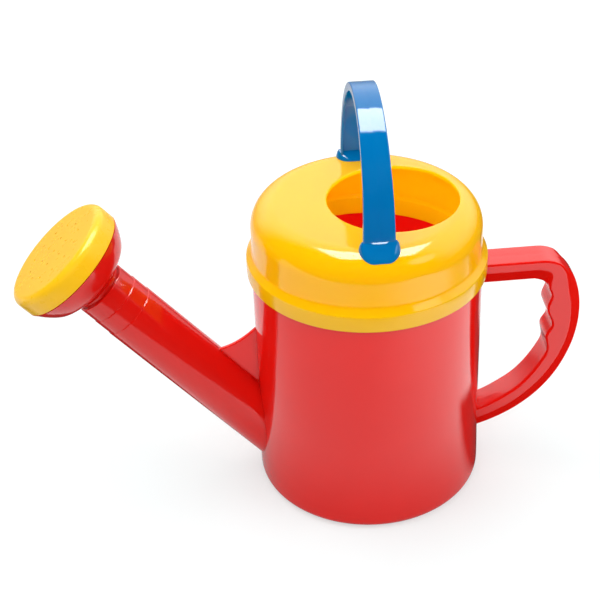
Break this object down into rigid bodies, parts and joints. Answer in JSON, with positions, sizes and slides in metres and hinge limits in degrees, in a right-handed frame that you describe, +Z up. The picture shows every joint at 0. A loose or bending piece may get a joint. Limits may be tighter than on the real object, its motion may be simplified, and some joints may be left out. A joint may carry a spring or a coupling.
{
  "type": "toy watering can",
  "caption": "Round watering can with slanted spout, pull-on rose, lift-off lid with strap bail, and a hollow rear handle with finger scallops.",
  "frame": {"origin": "centre of the flat underside, on the floor that the can stands on", "axes": "+Z up, +X towards the rear handle, -X towards the spout, XZ is the plane of symmetry"},
  "size_m": [0.3086, 0.1306, 0.2374],
  "materials": {
    "red_plastic": "high gloss moulded plastic",
    "yellow_plastic": "high gloss moulded plastic",
    "blue_plastic": "high gloss moulded plastic"
  },
  "bodies": {
    "can": {"body_shell": "red_plastic", "base_disc": "red_plastic", "spout_tube": "red_plastic", "handle_shell_left": "red_plastic", "handle_shell_right": "red_plastic"},
    "lid": {"lid_cap": "yellow_plastic", "bail_handle": "blue_plastic"},
    "rose": {"rose_bowl": "red_plastic"},
    "face": {"rose_face": "yellow_plastic"}
  },
  "joints": [
    {"name": "lid_lift", "type": "slide", "parent": "can", "child": "lid", "axis": [0, 0, 1], "range_m": [0, 0.06]},
    {"name": "rose_pull", "type": "slide", "parent": "can", "child": "rose", "axis": [-0.6494, 0, 0.7604], "range_m": [0, 0.03]},
    {"name": "face_turn", "type": "hinge", "parent": "rose", "child": "face", "pos_m": [-0.15663, 0, 0.14723], "axis": [-0.6494, 0, 0.7604], "continuous": true}
  ]
}
